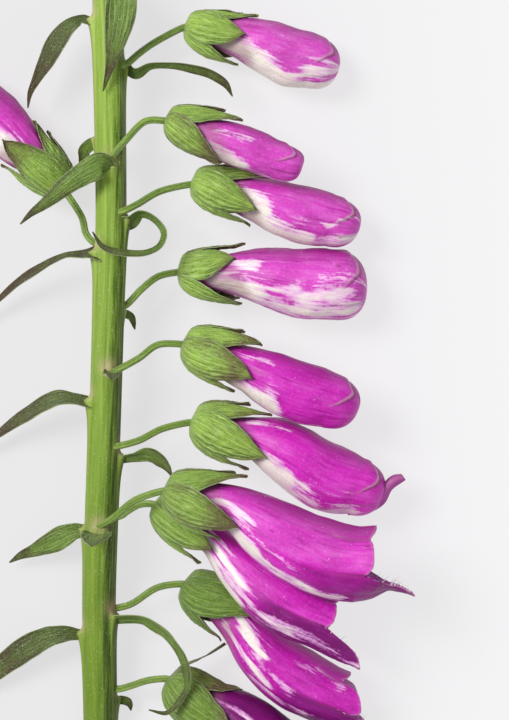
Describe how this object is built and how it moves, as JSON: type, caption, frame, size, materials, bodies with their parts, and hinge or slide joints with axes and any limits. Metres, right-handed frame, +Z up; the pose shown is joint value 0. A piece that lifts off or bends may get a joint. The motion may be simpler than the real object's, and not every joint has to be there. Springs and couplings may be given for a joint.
{
  "type": "foxglove flower spike",
  "caption": "Cut foxglove spike lying down: ridged stem, small bracts, closed buds and open drooping bell flowers in green cups.",
  "frame": {"origin": "centre of the whole spike's outline in plan, on the surface that it lies on", "axes": "+Y runs up the stem towards its tip, +X towards the side that the flowers hang to, +Z up from the surface"},
  "size_m": [0.094, 0.2306, 0.0299],
  "materials": {
    "stem": "matte",
    "bract": "matte",
    "calyx": "matte",
    "petal": "satin",
    "pistil": "matte",
    "bud": "matte"
  },
  "bodies": {
    "root": {"stem": "stem", "bract_01": "bract", "bract_02": "bract", "bract_03": "bract", "bract_04": "bract", "bract_05": "bract", "bract_06": "bract", "bract_07": "bract", "bract_08": "bract", "bract_09": "bract", "bract_10": "bract", "bract_11": "bract", "bract_12": "bract", "bract_13": "bract", "bract_14": "bract", "bract_15": "bract", "bract_16": "bract", "calyx_01": "calyx", "calyx_02": "calyx", "calyx_03": "calyx", "calyx_04": "calyx", "calyx_05": "calyx", "calyx_06": "calyx", "calyx_07": "calyx", "calyx_08": "calyx", "calyx_09": "calyx", "calyx_10": "calyx", "calyx_11": "calyx", "corolla_01": "petal", "corolla_02": "petal", "corolla_03": "petal", "corolla_04": "petal", "corolla_05": "petal", "corolla_06": "petal", "corolla_07": "petal", "corolla_08": "petal", "corolla_09": "petal", "corolla_10": "petal", "corolla_11": "petal", "pistil_08": "pistil", "pistil_09": "pistil", "pistil_10": "pistil", "pistil_11": "pistil", "tip_bud_01": "bud", "tip_bud_02": "bud", "tip_bud_03": "bud", "tip_bud_04": "bud", "tip_bud_05": "bud", "tip_bud_06": "bud", "tip_bud_07": "bud", "tip_bud_08": "bud", "tip_bract_01": "bract", "tip_bract_02": "bract", "tip_bract_03": "bract", "tip_bract_04": "bract", "tip_bract_05": "bract", "tip_bract_06": "bract", "tip_bract_07": "bract", "tip_apex": "bud"}
  },
  "joints": []
}
